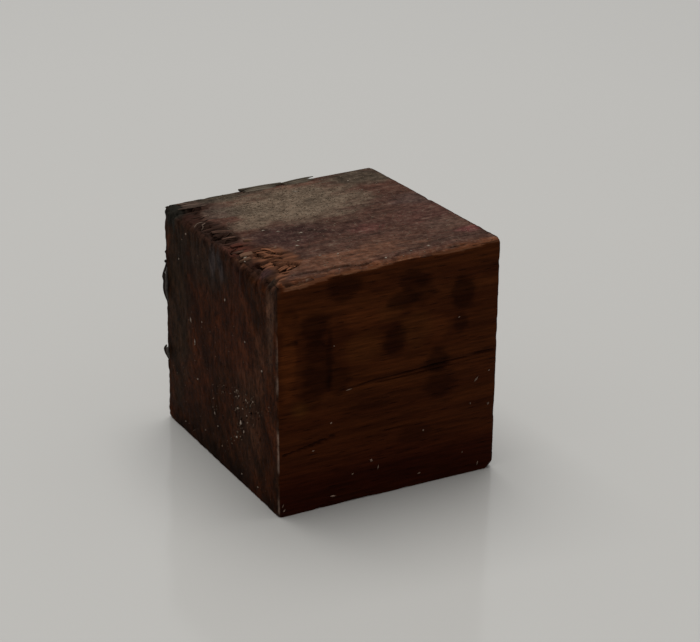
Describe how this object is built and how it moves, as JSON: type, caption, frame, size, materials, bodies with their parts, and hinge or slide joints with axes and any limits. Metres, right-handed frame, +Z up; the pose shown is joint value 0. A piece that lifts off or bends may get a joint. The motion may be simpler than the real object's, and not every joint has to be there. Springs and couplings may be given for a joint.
{
  "type": "wooden cube",
  "caption": "Small solid hardwood block sawn to a rough cube, with a torn top edge, worn arrises and fine drying cracks, used as a spacer, prop or desk block.",
  "frame": {"origin": "middle of the base, on the surface that the cube stands on", "axes": "+X along the grain, from the torn sawn end to the far sawn end; -Y out of the front, a long-grain face; +Z up"},
  "size_m": [0.0257, 0.0272, 0.0257],
  "materials": {
    "wood": "dark red-brown hardwood, worn and dusty, with an old satin of oil and handling"
  },
  "bodies": {
    "root": {"wooden_cube": "wood"}
  },
  "joints": []
}
